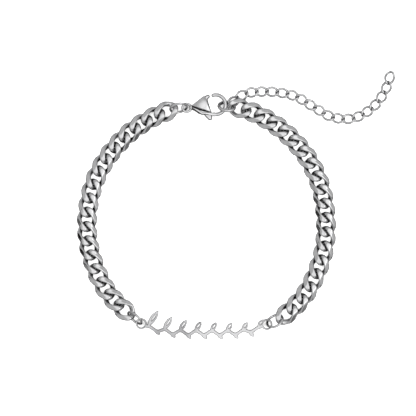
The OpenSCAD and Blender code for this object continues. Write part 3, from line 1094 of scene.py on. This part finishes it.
        # Painted shade on the edge walls, away from both faces
        depth = np.minimum(points[:, 2], self.thickness - points[:, 2])
        polish_and_shade_mask = np.clip(1 - depth / (self.edge * self.unshaded_edge_share), 0, 1)
        flat = frozenset(range(edge_count, len(faces)))
        return Shape(points, faces, flat_faces=flat, polish_and_shade_mask=polish_and_shade_mask)

    def _profile(self) -> list[tuple[float, float]]:
        """Inset and height of each row of points up the plate's edge."""
        rows = [(self.edge * (1 - sind(a)), self.edge * (1 - cosd(a))) for a in self.edge_angles]
        return rows + [(inset, self.thickness - z) for inset, z in reversed(rows)]

    def build(self, plan: "LoopPlan") -> None:
        """Builds the plate between its two eyelets.

        Args:
            plan: The loop that the plate is part of.
        """
        middle = (plan.left_eyelet + plan.right_eyelet) / 2
        matrix = place([*middle, self.rise], ("Z", heading(plan.right_eyelet - plan.left_eyelet)))
        Piece("leaf_plate", "nameplate", "plate_steel", self.finish).add(self.shape(), matrix)


@dataclass
class LobsterClasp:
    """The cast lobster clasp and its lever, in a frame with the eye at 0 and the hook along x.

    The spine narrows from taper_from to its foot, where the hook begins.
    """

    # The eye and the hook
    eye_r: float = 0.98
    eye_wire: float = 0.6
    hook_x: float = 6.95
    hook_y: float = 0.82
    hook_r: float = 2.35
    hook_wire: float = 0.87
    hook_ends: Span = (-100.0, 106.0)
    hook_fillet: float = 0.2
    eye_fillet: float = 0.25
    bearing_y: float = 0.45
    # The body and its spine
    thickness: float = 2.3
    rise: float = 0.35
    spine: float = 1.6
    spine_width: float = 0.78
    spine_foot: float = 0.66
    spine_foot_width: float = 0.6
    spine_from: Point = (1.35, 0.05)
    spine_bend: Point = (3.6, -1.45)
    spine_edge: float = 0.12
    spine_fillet: float = 0.08
    taper_from: float = 4.6
    ledge: float = -0.03
    ledge_foot: float = 0.39
    ledge_slant: float = 65.0
    ledge_softness: float = 0.06
    # Band of painted shade under the spine's edge: its middle and half width below the spine's line, and its
    # middle and half length along x
    ledge_middle: float = 0.27
    ledge_half: float = 0.26
    ledge_along: Span = (3.2, 2.0)
    above: float = 5.0
    # The web and the cheeks
    web: float = 1.2
    web_round: float = 0.42
    web_edge: float = 0.15
    web_fillet: float = 0.1
    cheek_round: float = 0.36
    cheek_hollow_at: Point = (10.9, 3.0)
    cheek_hollow_r: float = 6.15
    cheek_hollow_softness: float = 0.2
    dome_r: float = 5.5
    dome_at: Point = (3.9, 0.6)
    dome_softness: float = 0.3
    # The grooves between the spine and the cheeks
    groove_floor: float = 0.44
    groove_spread: float = 0.07
    groove_slope: float = 0.5
    groove_softness: float = 0.1
    # The lever, its slot and its pin
    lever: float = 0.6
    lever_open: float = 25.0
    slot_gap: float = 0.08
    slot_step: float = 5.0
    pivot: Point = (3.1, 0.05)
    pin_r: float = 0.3
    pin_hold: float = 0.3
    bore_r: float = 0.35
    hub_r: float = 0.72
    # Width of the band round the lever's outline that gets painted shade
    painted_rim: float = 0.25
    bevel: float = 0.22
    bevel_slant: float = 54.0
    bevel_softness: float = 0.08
    # Where the meshes are looked for, and how finely
    body_low: Point = (-1.5, -2.3)
    body_top: float = 3.9
    lever_low: Point = (2.2, -3.3)
    lever_high: Point = (6.4, 3.4)
    room: float = 0.15
    cell: float = 0.055
    # Finishes and outlines
    # Their darker share is painted shade: in the casting's groove and under its ledge, and on the lever's
    # rim
    cast: SteelFinish = SteelFinish("polished_casting", Grain.CAST, gloss=(0.12, 0.2), unground_and_painted_shade=0.12)
    stamped: SteelFinish = SteelFinish("stamped_lever", Grain.SHEET, gloss=(0.1, 0.2), unground_and_painted_shade=0.2)
    lever_plan: tuple[Point, ...] = (
        (2.85, 0.7), (4.45, 3.02), (5.15, 3.2), (5.6, 2.95), (5.5, 2.55), (5.02, 2.05), (5.3, 1.1),
        (5.6, 0.15), (5.85, -0.6), (6.05, -1.3), (6.15, -2.1), (6.1, -2.7), (5.75, -3.05), (5.3, -2.9),
        (4.85, -2.45), (4.35, -1.9), (3.4, -0.6),
    )
    cheek_plan: tuple[Point, ...] = ((1.75, 0.55), (4.12, 2.5), (5.45, -0.62), (4.3, -0.5))
    web_plan: tuple[Point, ...] = ((1.2, 0.1), (3.8, 1.7), (5.3, -0.9), (3.7, -1.2))
    groove_plan: tuple[Point, ...] = (
        (1.3, 0.5), (1.3, 0.22), (3.4, -0.6), (5.5, -1.08), (5.5, -0.92), (3.4, -0.34),
    )

    @property
    def level(self) -> float:
        """Height of the clasp's middle plane."""
        return self.rise + self.thickness / 2

    @property
    def bearing(self) -> Point:
        """Where the hook bears on the end ring, in the clasp's frame."""
        return (self.hook_x + self.hook_r, self.bearing_y)

    def _lever_outline(self, x: np.ndarray, y: np.ndarray) -> np.ndarray:
        """Plan field of the lever: its hub, gate and thumb tab."""
        hub = np.hypot(x - self.pivot[0], y - self.pivot[1]) - self.hub_r
        return np.minimum(polygon_distance(x, y, self.lever_plan), hub)

    def lever_solid(self, p: np.ndarray) -> np.ndarray:
        """Field of the lever.

        Args:
            p: Points in the clasp's frame.

        Returns:
            The signed distance at each point.
        """
        x, y, z = p.T
        outline = self._lever_outline(x, y)
        plate = bevelled(outline, z, self.lever / 2, self.bevel, self.bevel_slant, self.bevel_softness)
        bore = np.hypot(x - self.pivot[0], y - self.pivot[1]) - self.bore_r
        return np.maximum(plate, -bore)

    @property
    def _spine_line(self) -> tuple[Point, ...]:
        """Middle line of the spine, from the eye to the foot of the hook."""
        return (self.spine_from, self.spine_bend, (self.hook_x, self.hook_y - self.hook_r))

    def _below_spine(self, x: np.ndarray, y: np.ndarray) -> np.ndarray:
        """How far a plan point lies below the spine's middle line."""
        corners = (*self._spine_line, (self.hook_x, self.above), (self.spine_from[0], self.above))
        return polygon_distance(x, y, corners)

    def _tapered(self, x: np.ndarray, usual: float, foot: float) -> np.ndarray:
        """A size of the spine, as it changes from its usual value to that at the foot of the hook."""
        return np.interp(x, (self.taper_from, self.hook_x), (usual, foot))

    def _casting_shade_mask(self, p: np.ndarray) -> np.ndarray:
        """Painted shade on the casting: 0 in the groove and in a band under the spine's edge.

        Args:
            p: Points in the clasp's frame.

        Returns:
            The share at each point, 0 where shade is painted.
        """
        x, y, _ = p.T
        groove = polygon_distance(x, y, self.groove_plan) - self.groove_spread
        edge = np.abs(self._below_spine(x, y) - self.ledge_middle) - self.ledge_half
        edge = np.maximum(edge, np.abs(x - self.ledge_along[0]) - self.ledge_along[1])
        return np.clip(np.minimum(groove, edge) / self.cell + 0.5, 0, 1)

    def _slot(self, p: np.ndarray) -> np.ndarray:
        """Field of the room that the lever sweeps.

        Args:
            p: Points in the clasp's frame.

        Returns:
            The signed distance at each point.
        """
        x, y, z = p.T
        swept = np.full(x.shape, np.inf)
        px, py = self.pivot
        for angle in np.arange(0, self.lever_open + self.slot_step / 2, self.slot_step):
            c, s = cosd(angle), sind(angle)
            u = px + (x - px) * c - (y - py) * s
            v = py + (x - px) * s + (y - py) * c
            swept = np.minimum(swept, self._lever_outline(u, v))
        return np.maximum(swept - self.slot_gap, np.abs(z) - self.lever / 2 - self.slot_gap)

    def body_solid(self, p: np.ndarray) -> np.ndarray:
        """Field of the cast body.

        Args:
            p: Points in the clasp's frame.

        Returns:
            The signed distance at each point.
        """
        x, y, z = p.T
        body = smooth_join(self._cheek(p), self._web(p), self.web_fillet)
        body = smooth_join(body, self._spine(p), self.spine_fillet)
        body = smooth_keep(body, -self._groove(p), self.groove_softness)
        from_eye = np.hypot(x, y)
        body = np.maximum(body, self.eye_r - self.eye_wire / 2 - from_eye)
        eye = np.hypot(from_eye - self.eye_r, z) - self.eye_wire / 2
        body = smooth_join(body, eye, self.eye_fillet)
        body = smooth_join(body, self._hook(p), self.hook_fillet)
        body = np.maximum(body, -self._slot(p))
        return np.minimum(body, self._pin(p))

    def _cheek(self, p: np.ndarray) -> np.ndarray:
        """Field of both cheeks as one block, domed on its faces and hollowed towards the hook.

        Args:
            p: Points in the clasp's frame.

        Returns:
            The signed distance at each point.
        """
        x, y, z = p.T
        hollow_x, hollow_y = self.cheek_hollow_at
        hollow = self.cheek_hollow_r - np.hypot(x - hollow_x, y - hollow_y)
        outline = polygon_distance(x, y, self.cheek_plan) - self.cheek_round
        cheek = smooth_keep(outline, hollow, self.cheek_hollow_softness)
        dome_x, dome_y = self.dome_at
        up = np.abs(z) - self.thickness / 2 + self.dome_r
        dome = np.sqrt((x - dome_x) ** 2 + (y - dome_y) ** 2 + up**2) - self.dome_r
        return smooth_keep(cheek, dome, self.dome_softness)

    def _web(self, p: np.ndarray) -> np.ndarray:
        """Field of the web between the cheeks and the spine.

        Args:
            p: Points in the clasp's frame.

        Returns:
            The signed distance at each point.
        """
        x, y, z = p.T
        outline = polygon_distance(x, y, self.web_plan) - self.web_round
        return thick(outline, z, self.web / 2, self.web_edge)

    def _spine(self, p: np.ndarray) -> np.ndarray:
        """Field of the spine, with the slanted ledge along both its faces.

        Args:
            p: Points in the clasp's frame.

        Returns:
            The signed distance at each point.
        """
        x, y, z = p.T
        half = self._tapered(x, self.spine / 2, self.spine_foot / 2)
        wide = self._tapered(x, self.spine_width / 2, self.spine_foot_width / 2)
        spine = thick(line_distance(x, y, self._spine_line) - wide, z, half, self.spine_edge)
        over = self._below_spine(x, y) - self._tapered(x, self.ledge, self.ledge_foot)
        ledge = over * sind(self.ledge_slant) + (np.abs(z) - half) * cosd(self.ledge_slant)
        return smooth_keep(spine, ledge, self.ledge_softness)

    def _groove(self, p: np.ndarray) -> np.ndarray:
        """Field of the grooves that part the spine from the cheeks on both faces.

        Args:
            p: Points in the clasp's frame.

        Returns:
            The signed distance at each point.
        """
        x, y, z = p.T
        narrowing = self.groove_slope * (self.spine / 2 - np.abs(z)) - self.groove_spread
        outline = polygon_distance(x, y, self.groove_plan) + narrowing
        return np.maximum(outline, self.groove_floor - np.abs(z))

    def _pin(self, p: np.ndarray) -> np.ndarray:
        """Field of the pin that the lever turns on.

        Args:
            p: Points in the clasp's frame.

        Returns:
            The signed distance at each point.
        """
        x, y, z = p.T
        from_pin = np.hypot(x - self.pivot[0], y - self.pivot[1])
        half = self.lever / 2 + self.slot_gap + self.pin_hold
        return np.maximum(from_pin - self.pin_r, np.abs(z) - half)

    def _hook(self, p: np.ndarray) -> np.ndarray:
        """Field of the hook's bent stock with its round tip.

        Args:
            p: Points in the clasp's frame.

        Returns:
            The signed distance at each point.
        """
        x, y, z = p.T
        middle = sum(self.hook_ends) / 2
        half = (self.hook_ends[1] - self.hook_ends[0]) / 2
        dx, dy = x - self.hook_x, y - self.hook_y
        u = dx * cosd(middle) + dy * sind(middle)
        v = np.abs(dy * cosd(middle) - dx * sind(middle))
        on_arc = np.degrees(np.arctan2(v, u)) <= half
        end = np.hypot(u - self.hook_r * cosd(half), v - self.hook_r * sind(half))
        away = np.where(on_arc, np.abs(np.hypot(u, v) - self.hook_r), end)
        return np.hypot(away, z) - self.hook_wire / 2

    def build(self, plan: "LoopPlan") -> None:
        """Builds the cast body and the lever.

        Args:
            plan: The loop that the clasp closes.
        """
        way = heading(plan.hook_bearing - plan.eye) - heading(self.bearing)
        matrix = place([*plan.eye, self.level], ("Z", way))
        end = self.hook_x + self.hook_r + self.hook_wire / 2 + self.room
        side = self.thickness / 2 + self.room
        body = net_surface(self.body_solid, (*self.body_low, -side), (end, self.body_top, side), self.cell)
        # Painted shade in the groove and under the spine's edge
        body.polish_and_shade_mask = self._casting_shade_mask(body.points)
        Piece("clasp_casting", "clasp_body", "clasp_steel", self.cast).add(body, matrix)
        side = self.lever / 2 + self.room
        low, high = (*self.lever_low, -side), (*self.lever_high, side)
        lever = net_surface(self.lever_solid, low, high, self.cell)
        # Painted shade: a dark rim round the lever's outline
        inside = -self._lever_outline(lever.points[:, 0], lever.points[:, 1])
        lever.polish_and_shade_mask = np.clip((inside - self.painted_rim) / self.cell + 0.5, 0, 1)
        Piece("clasp_gate", "clasp_lever", "lever_steel", self.stamped, Body.LEVER).add(lever, matrix)


@dataclass
class LoopPlan:
    """Where everything lies on the closed loop, worked out from the sizes of its pieces."""

    chain: CurbChain
    rings: JumpRings
    plate: LeafPlate
    clasp: LobsterClasp
    plate_turn: float = 268.7
    link_hold: float = 0.75
    end_link_hold: float = 0.72
    hook_to_ring: float = 0.5
    closing_rounds: int = 12
    bulge: tuple[Point, ...] = (
        (-60, -0.15), (-50, 0.5), (-38, 0.65), (-20, 0.3), (5, -0.1), (30, 0), (45, -0.1), (66, -0.1),
        (74, -0.25), (81, -0.57), (100, -0.8), (108, -0.4), (120, -0.35), (135, -0.25), (165, 0.1),
        (195, 0.3), (215, 0.55), (228, 0.3), (238, 0.45),
    )
    # A first guess at the radius, and then what is worked out
    radius: float = field(init=False, default=28.0)
    left_first: float = field(init=False)
    right_first: float = field(init=False)
    left_eyelet: np.ndarray = field(init=False)
    right_eyelet: np.ndarray = field(init=False)
    eye: np.ndarray = field(init=False)
    hook_bearing: np.ndarray = field(init=False)
    left_ring_at: np.ndarray = field(init=False)
    right_ring_at: np.ndarray = field(init=False)
    eye_ring_at: np.ndarray = field(init=False)
    end_ring_at: np.ndarray = field(init=False)
    left_ring_way: float = field(init=False)
    right_ring_way: float = field(init=False)
    eye_ring_way: float = field(init=False)
    end_ring_way: float = field(init=False)

    def __post_init__(self) -> None:
        """Closes the loop, then finds every station on it."""
        for _ in range(self.closing_rounds):
            self.radius *= self._full_turn() / 360
        self._find_stations()
        self._hang_rings()

    def _find_stations(self) -> None:
        """Steps round the loop from the plate to its neighbours on both sides, as far as the clasp."""
        half_plate = self._half_turn(self.plate.half)
        left_eyelet = self.plate_turn - half_plate
        right_eyelet = self.plate_turn + half_plate - 360
        left_ring = left_eyelet - self._turn(self.rings.left.reach(self.plate.level))
        left_last = left_ring - self._turn(self._ring_to_link)
        self.left_first = left_last - (self.chain.left - 1) * self.pitch_turn
        eye_ring = self.left_first - self._turn(self._ring_to_link)
        eye = eye_ring - self._turn(self.rings.eye.reach(self.clasp.level))
        hook = eye - self._turn(self._clasp_span)
        end_ring = hook - self._turn(self.hook_to_ring)
        right_last = end_ring - self._turn(self._end_ring_to_link)
        right_ring = right_eyelet + self._turn(self.rings.right.reach(self.plate.level))
        self.right_first = right_ring + self._turn(self._ring_to_link)
        self.left_eyelet, self.right_eyelet = self.station(left_eyelet), self.station(right_eyelet)
        self.eye, self.hook_bearing = self.station(eye), self.station(hook)
        self.end_ring_at = self.station(end_ring)
        self.left_ring_way = heading(self.left_eyelet - self.station(left_last))
        self.right_ring_way = heading(self.station(self.right_first) - self.right_eyelet)
        self.eye_ring_way = heading(self.station(self.left_first) - self.eye)
        self.end_ring_way = heading(self.hook_bearing - self.station(right_last))

    def _hang_rings(self) -> None:
        """Hangs each fine jump ring in its eyelet."""
        rings, level = self.rings, self.plate.level
        self.left_ring_at = self._hung(self.left_eyelet, rings.left, level, self.left_ring_way, 1)
        self.right_ring_at = self._hung(self.right_eyelet, rings.right, level, self.right_ring_way, -1)
        self.eye_ring_at = self._hung(self.eye, rings.eye, self.clasp.level, self.eye_ring_way, -1)

    @property
    def _ring_to_link(self) -> float:
        """Distance from a jump ring's middle to the middle of the link that it holds."""
        return self.chain.tip + self.link_hold

    @property
    def _end_ring_to_link(self) -> float:
        """The same at the stout ring."""
        return self.chain.tip + self.end_link_hold

    @property
    def _clasp_span(self) -> float:
        """Distance from the clasp's eye to the bearing of its hook."""
        return math.hypot(*self.clasp.bearing)

    def _turn(self, chord: float) -> float:
        """Turn about the loop's middle that a chord takes up."""
        return 2 * math.degrees(math.asin(chord / (2 * self.radius)))

    def _half_turn(self, chord: float) -> float:
        """Turn that half of a long chord takes up."""
        return math.degrees(math.asin(chord / self.radius))

    @property
    def pitch_turn(self) -> float:
        """Turn from link to link."""
        return self._turn(self.chain.pitch)

    def _full_turn(self) -> float:
        """Adds up the turns that all the steps round the loop take up.

        Returns:
            Their sum in degrees, 360 where the loop closes.
        """
        level = self.plate.level
        plate = 2 * self._half_turn(self.plate.half)
        eyelets = self._turn(self.rings.left.reach(level)) + self._turn(self.rings.right.reach(level))
        holds = 3 * self._turn(self._ring_to_link) + self._turn(self._end_ring_to_link)
        links = self.pitch_turn * (self.chain.left + self.chain.right - 2)
        ends = self._turn(self.rings.eye.reach(self.clasp.level)) + self._turn(self.hook_to_ring)
        return plate + eyelets + holds + links + ends + self._turn(self._clasp_span)

    def station(self, angle: float) -> np.ndarray:
        """Point of the route in a direction from the loop's middle.

        Args:
            angle: The direction, in degrees.

        Returns:
            The point in plan.
        """
        rows = self.bulge
        i = min(max((k for k, row in enumerate(rows) if row[0] <= angle), default=0), len(rows) - 2)
        u = min(max((angle - rows[i][0]) / (rows[i + 1][0] - rows[i][0]), 0), 1)
        out = rows[i][1] + (rows[i + 1][1] - rows[i][1]) * u * u * (3 - 2 * u)
        return (self.radius + out) * np.array([cosd(angle), sind(angle)])

    @staticmethod
    def _hung(eyelet: np.ndarray, ring: RoundRing, level: float, way: float, side: int) -> np.ndarray:
        """Middle of a ring whose wire passes through an eyelet.

        Args:
            eyelet: The eyelet's middle.
            ring: The ring.
            level: Height of the eyelet.
            way: Direction of the ring's long axis.
            side: 1 if the eyelet lies ahead of the ring, -1 if it lies behind.

        Returns:
            The ring's middle in plan.
        """
        return eyelet - turned([side * ring.reach(level), ring.aside(level)], way)


@dataclass
class ExtensionChain:
    """The fine extension chain that lies out from the stout ring in one long wave."""

    count: int = 19
    length: float = 3.52
    width: float = 2.6
    wire: float = 0.46
    twist: float = 45.0
    play: float = 0.13
    wire_share: float = 1.1
    first_lift: float = 0.07
    route: tuple[Point, ...] = (
        (0.6, 0.2), (1.68, 1.31), (3.75, 2.8), (6.2, 3.5), (11.1, 3.6), (16.3, 2.6), (20.7, 0.1),
        (25.2, -2.4), (30.2, -2.75), (34.6, -0.5), (37.6, 3.1), (39.1, 7), (39.5, 9.5),
    )
    steps: int = 8
    sight: float = 0.5
    rings: int = 64
    sides: int = 16
    finish: SteelFinish = SteelFinish("drawn_fine_chain", Grain.DRAWN, gloss=(0.08, 0.18))

    @property
    def pitch(self) -> float:
        """Distance from link to link."""
        return self.length - 2 * self.wire - self.play

    def _line(self) -> tuple[np.ndarray, np.ndarray]:
        """The route as a smooth line through its chosen points.

        Returns:
            The line's points, and how far along it each one lies.
        """
        points = np.array(self.route)
        last = len(points) - 1
        line = []
        for i in range(last):
            p0, p1, p2, p3 = points[max(i - 1, 0)], points[i], points[i + 1], points[min(i + 2, last)]
            for u in np.arange(self.steps) / self.steps:
                square = (2 * p0 - 5 * p1 + 4 * p2 - p3) * u * u
                cube = (3 * p1 - p0 - 3 * p2 + p3) * u**3
                line.append(0.5 * (2 * p1 + (p2 - p0) * u + square + cube))
        line = np.array(line)
        run = np.concatenate([[0], np.cumsum(np.linalg.norm(np.diff(line, axis=0), axis=1))])
        return line, run

    def build(self, plan: LoopPlan) -> None:
        """Builds all the links as loose parts of one piece.

        Args:
            plan: The loop whose stout ring holds the chain.
        """
        line, run = self._line()
        onward = (line[-1] - line[-2]) / np.linalg.norm(line[-1] - line[-2])

        def at(s: float) -> np.ndarray:
            """Point of the route at a distance along it."""
            spot = np.array([np.interp(s, run, line[:, 0]), np.interp(s, run, line[:, 1])])
            return spot + max(0.0, s - run[-1]) * onward

        wire = self.wire * self.wire_share
        one = TwistedLink(self.length, self.width, wire, self.twist, self.rings, self.sides).shape()
        rise = -one.points[:, 2].min()
        whole: Shape | None = None
        for i in range(self.count):
            s = (self.length - self.wire) / 2 + i * self.pitch
            spot = plan.end_ring_at + at(s)
            way = heading(at(s + self.sight) - at(s - self.sight))
            lift = self.first_lift if i == 0 else 0.0
            part = one.moved(place([*spot, rise + lift], ("Z", way)))
            whole = part if whole is None else whole.joined(part)
        Piece("fine_chain", "extension_chain", "extension_steel", self.finish).add(whole, Matrix.Identity(4))


@dataclass(frozen=True)
class Patch:
    """A round, soft-edged region of the surround: it adds light, or as a flag lets only a share through."""

    azimuth: float
    elevation: float
    inner: float
    outer: float
    level: float

    @property
    def direction(self) -> tuple[float, float, float]:
        """Unit vector towards the patch."""
        flat = cosd(self.elevation)
        return (flat * cosd(self.azimuth), flat * sind(self.azimuth), sind(self.elevation))


@dataclass
class Studio:
    """White paper for the camera over a grey copy of the floor that only reflections see, painting shade
    into them, soft patches of light all round and a camera that looks straight down.
    """

    middle: Point = (0.24, 3.36)
    picture_width: float = 99.84
    lens: float = 200.0
    sensor: float = 36.0
    near_clip: float = 10.0
    paper_half: float = 900.0
    paper_at: float = -0.02
    paper_grey: float = 0.9
    # Height and grey of the darker floor copy that only reflections see: painted shade in the floor's
    # reflection
    shade_floor_at: float = -0.03
    shade_floor_grey: float = 0.12
    box_power: float = 26.0
    box_size: float = 1200.0
    box_at: float = 900.0
    base: float = 0.48
    below: float = 0.1
    horizon: float = 0.05
    patches: tuple[Patch, ...] = (
        Patch(-25.0, 77.0, 8.0, 42.0, 0.52),
        Patch(-10.0, 45.0, 5.0, 28.0, 0.75),
    )
    flags: tuple[Patch, ...] = (
        Patch(187.0, 11.0, 7.0, 15.0, 0.0),
        Patch(308.0, 11.0, 6.0, 20.0, 0.25),
    )

    def build(self) -> None:
        """Builds the floor, the lights, the surround and the camera."""
        paper = self._sheet("white_paper", self.paper_at, self.paper_grey)
        paper.visible_glossy = False
        paper.visible_shadow = False
        # Painted shade: a darker copy of the floor, hidden from the camera, for reflections only
        shade_floor = self._sheet("painted_shade_floor_copy", self.shade_floor_at, self.shade_floor_grey)
        shade_floor.visible_camera = False
        self._surround()
        self._box()
        self._camera()

    def _sheet(self, name: str, height: float, grey: float) -> bpy.types.Object:
        """Lays one wide matt sheet under the bracelet.

        Args:
            name: Name of the object and its material.
            height: Height of the sheet, in millimetres.
            grey: How much light it gives back.

        Returns:
            The sheet.
        """
        half = self.paper_half
        mesh = bpy.data.meshes.new(name)
        corners = [(-half, -half), (half, -half), (half, half), (-half, half)]
        mesh.from_pydata([(x * MM, y * MM, height * MM) for x, y in corners], [], [(0, 1, 2, 3)])
        sheet = bpy.data.objects.new(name, mesh)
        bpy.context.scene.collection.objects.link(sheet)
        matt = bpy.data.materials.new(name)
        matt.use_nodes = True
        shader = matt.node_tree.nodes["Principled BSDF"]
        shader.inputs["Base Color"].default_value = (grey, grey, grey, 1)
        shader.inputs["Roughness"].default_value = 1.0
        shader.inputs["Specular IOR Level"].default_value = 0.0
        mesh.materials.append(matt)
        return sheet

    def _surround(self) -> None:
        """Makes the studio's surround from its base grey and its soft patches of light."""
        world = bpy.data.worlds.new("studio")
        bpy.context.scene.world = world
        world.use_nodes = True
        tree = world.node_tree
        where = tree.nodes.new("ShaderNodeTexCoord")
        split = tree.nodes.new("ShaderNodeSeparateXYZ")
        tree.links.new(where.outputs["Generated"], split.inputs["Vector"])
        dusk = (-self.horizon, self.horizon)
        level = ranged(tree, split.outputs["Z"], dusk, (self.below, self.base), Ramp.SOFT)
        for regions, outside, operation in ((self.patches, 0.0, "ADD"), (self.flags, 1.0, "MULTIPLY")):
            for region in regions:
                facing = tree.nodes.new("ShaderNodeVectorMath")
                facing.operation = "DOT_PRODUCT"
                facing.inputs[1].default_value = region.direction
                tree.links.new(where.outputs["Generated"], facing.inputs[0])
                rim = (cosd(region.outer), cosd(region.inner))
                step = ranged(tree, facing.outputs["Value"], rim, (outside, region.level), Ramp.SOFT)
                change = tree.nodes.new("ShaderNodeMath")
                change.operation = operation
                tree.links.new(level, change.inputs[0])
                tree.links.new(step, change.inputs[1])
                level = change.outputs[0]
        tree.links.new(level, tree.nodes["Background"].inputs["Color"])

    def _box(self) -> None:
        """Hangs a large soft box that lights the paper and shows in no reflection."""
        data = bpy.data.lights.new("soft_box", "AREA")
        data.shape = "SQUARE"
        data.size = self.box_size * MM
        data.energy = self.box_power
        box = bpy.data.objects.new("soft_box", data)
        box.location = (0, 0, self.box_at * MM)
        box.visible_glossy = False
        bpy.context.scene.collection.objects.link(box)

    def _camera(self) -> None:
        """Sets the camera over the middle of the picture."""
        data = bpy.data.cameras.new("camera")
        data.lens = self.lens
        data.sensor_width = self.sensor
        data.clip_start = self.near_clip * MM
        camera = bpy.data.objects.new("camera", data)
        height = self.picture_width * self.lens / self.sensor
        camera.location = (self.middle[0] * MM, self.middle[1] * MM, height * MM)
        bpy.context.scene.collection.objects.link(camera)
        bpy.context.scene.camera = camera


def main() -> None:
    """Builds the bracelet piece by piece and the studio round it."""
    logging.basicConfig(level=logging.INFO, format="%(name)s: %(message)s")
    chain, rings, plate, clasp = CurbChain(), JumpRings(), LeafPlate(), LobsterClasp()
    plan = LoopPlan(chain, rings, plate, clasp)
    log.info("loop radius %.3f mm", plan.radius)
    for part in (chain, rings, plate, clasp, ExtensionChain()):
        part.build(plan)
    Studio().build()
    scene = bpy.context.scene
    scene.view_settings.view_transform = "Standard"


if __name__ == "__main__":
    main()
